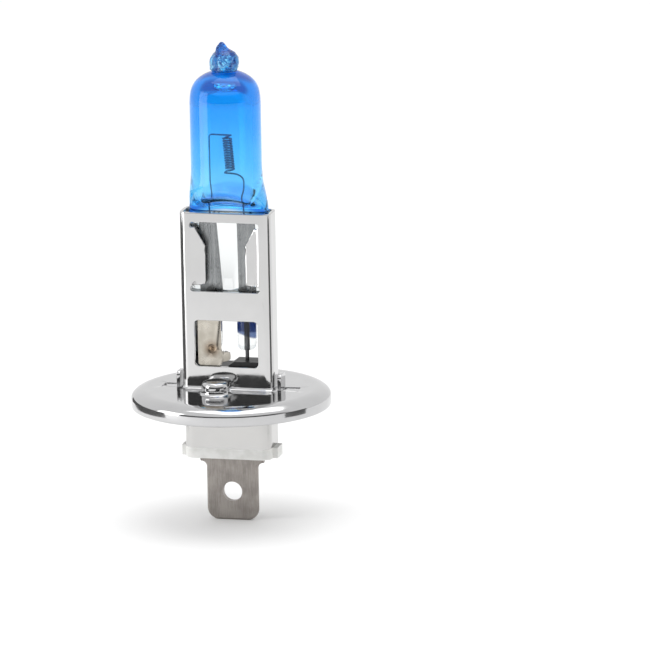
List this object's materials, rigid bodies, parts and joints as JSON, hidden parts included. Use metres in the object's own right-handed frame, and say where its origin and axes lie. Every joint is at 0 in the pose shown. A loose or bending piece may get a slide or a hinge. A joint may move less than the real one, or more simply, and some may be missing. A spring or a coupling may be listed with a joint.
{
  "type": "headlight bulb",
  "caption": "Halogen headlight bulb: blue quartz capsule in a windowed metal sleeve, on a round polished flange with a flat blade terminal under it.",
  "frame": {"origin": "on the bulb axis, in the plane of the flange's glass-side face", "axes": "+Z along the bulb axis towards the glass tip; +X along the wide side of the sleeve and the blade; the lanced boss faces -Y"},
  "size_m": [0.024, 0.024, 0.0584],
  "materials": {
    "blue_quartz": "clear fused quartz with a transparent blue coating, glossy",
    "tungsten": "drawn tungsten wire, dull grey",
    "molybdenum": "thin rolled foil, grey",
    "lead_wire": "drawn molybdenum wire, darkened",
    "bright_nickel": "bright nickel plated sheet, mirror polished",
    "polished_flange": "bright nickel plated pressing, polished",
    "matte_nickel": "matte nickel sheet",
    "black_insulator": "black moulded insulator, matte",
    "plated_steel": "plated drawn steel, satin",
    "white_ceramic": "white unglazed ceramic",
    "blade_metal": "matte grey plated strip, fine grain"
  },
  "bodies": {
    "root": {"quartz_bulb": "blue_quartz", "filament_coil": "tungsten", "lead_in_long": "tungsten", "lead_in_short": "tungsten", "foil_ground": "molybdenum", "foil_hot": "molybdenum", "lead_out_hot": "lead_wire", "lead_out_ground": "lead_wire", "holder_sleeve": "bright_nickel", "ground_weld_plate": "matte_nickel", "flange_disc": "polished_flange", "inner_insulator": "black_insulator", "base_shell": "plated_steel", "ceramic_insulator": "white_ceramic", "terminal_blade": "blade_metal"}
  },
  "joints": []
}
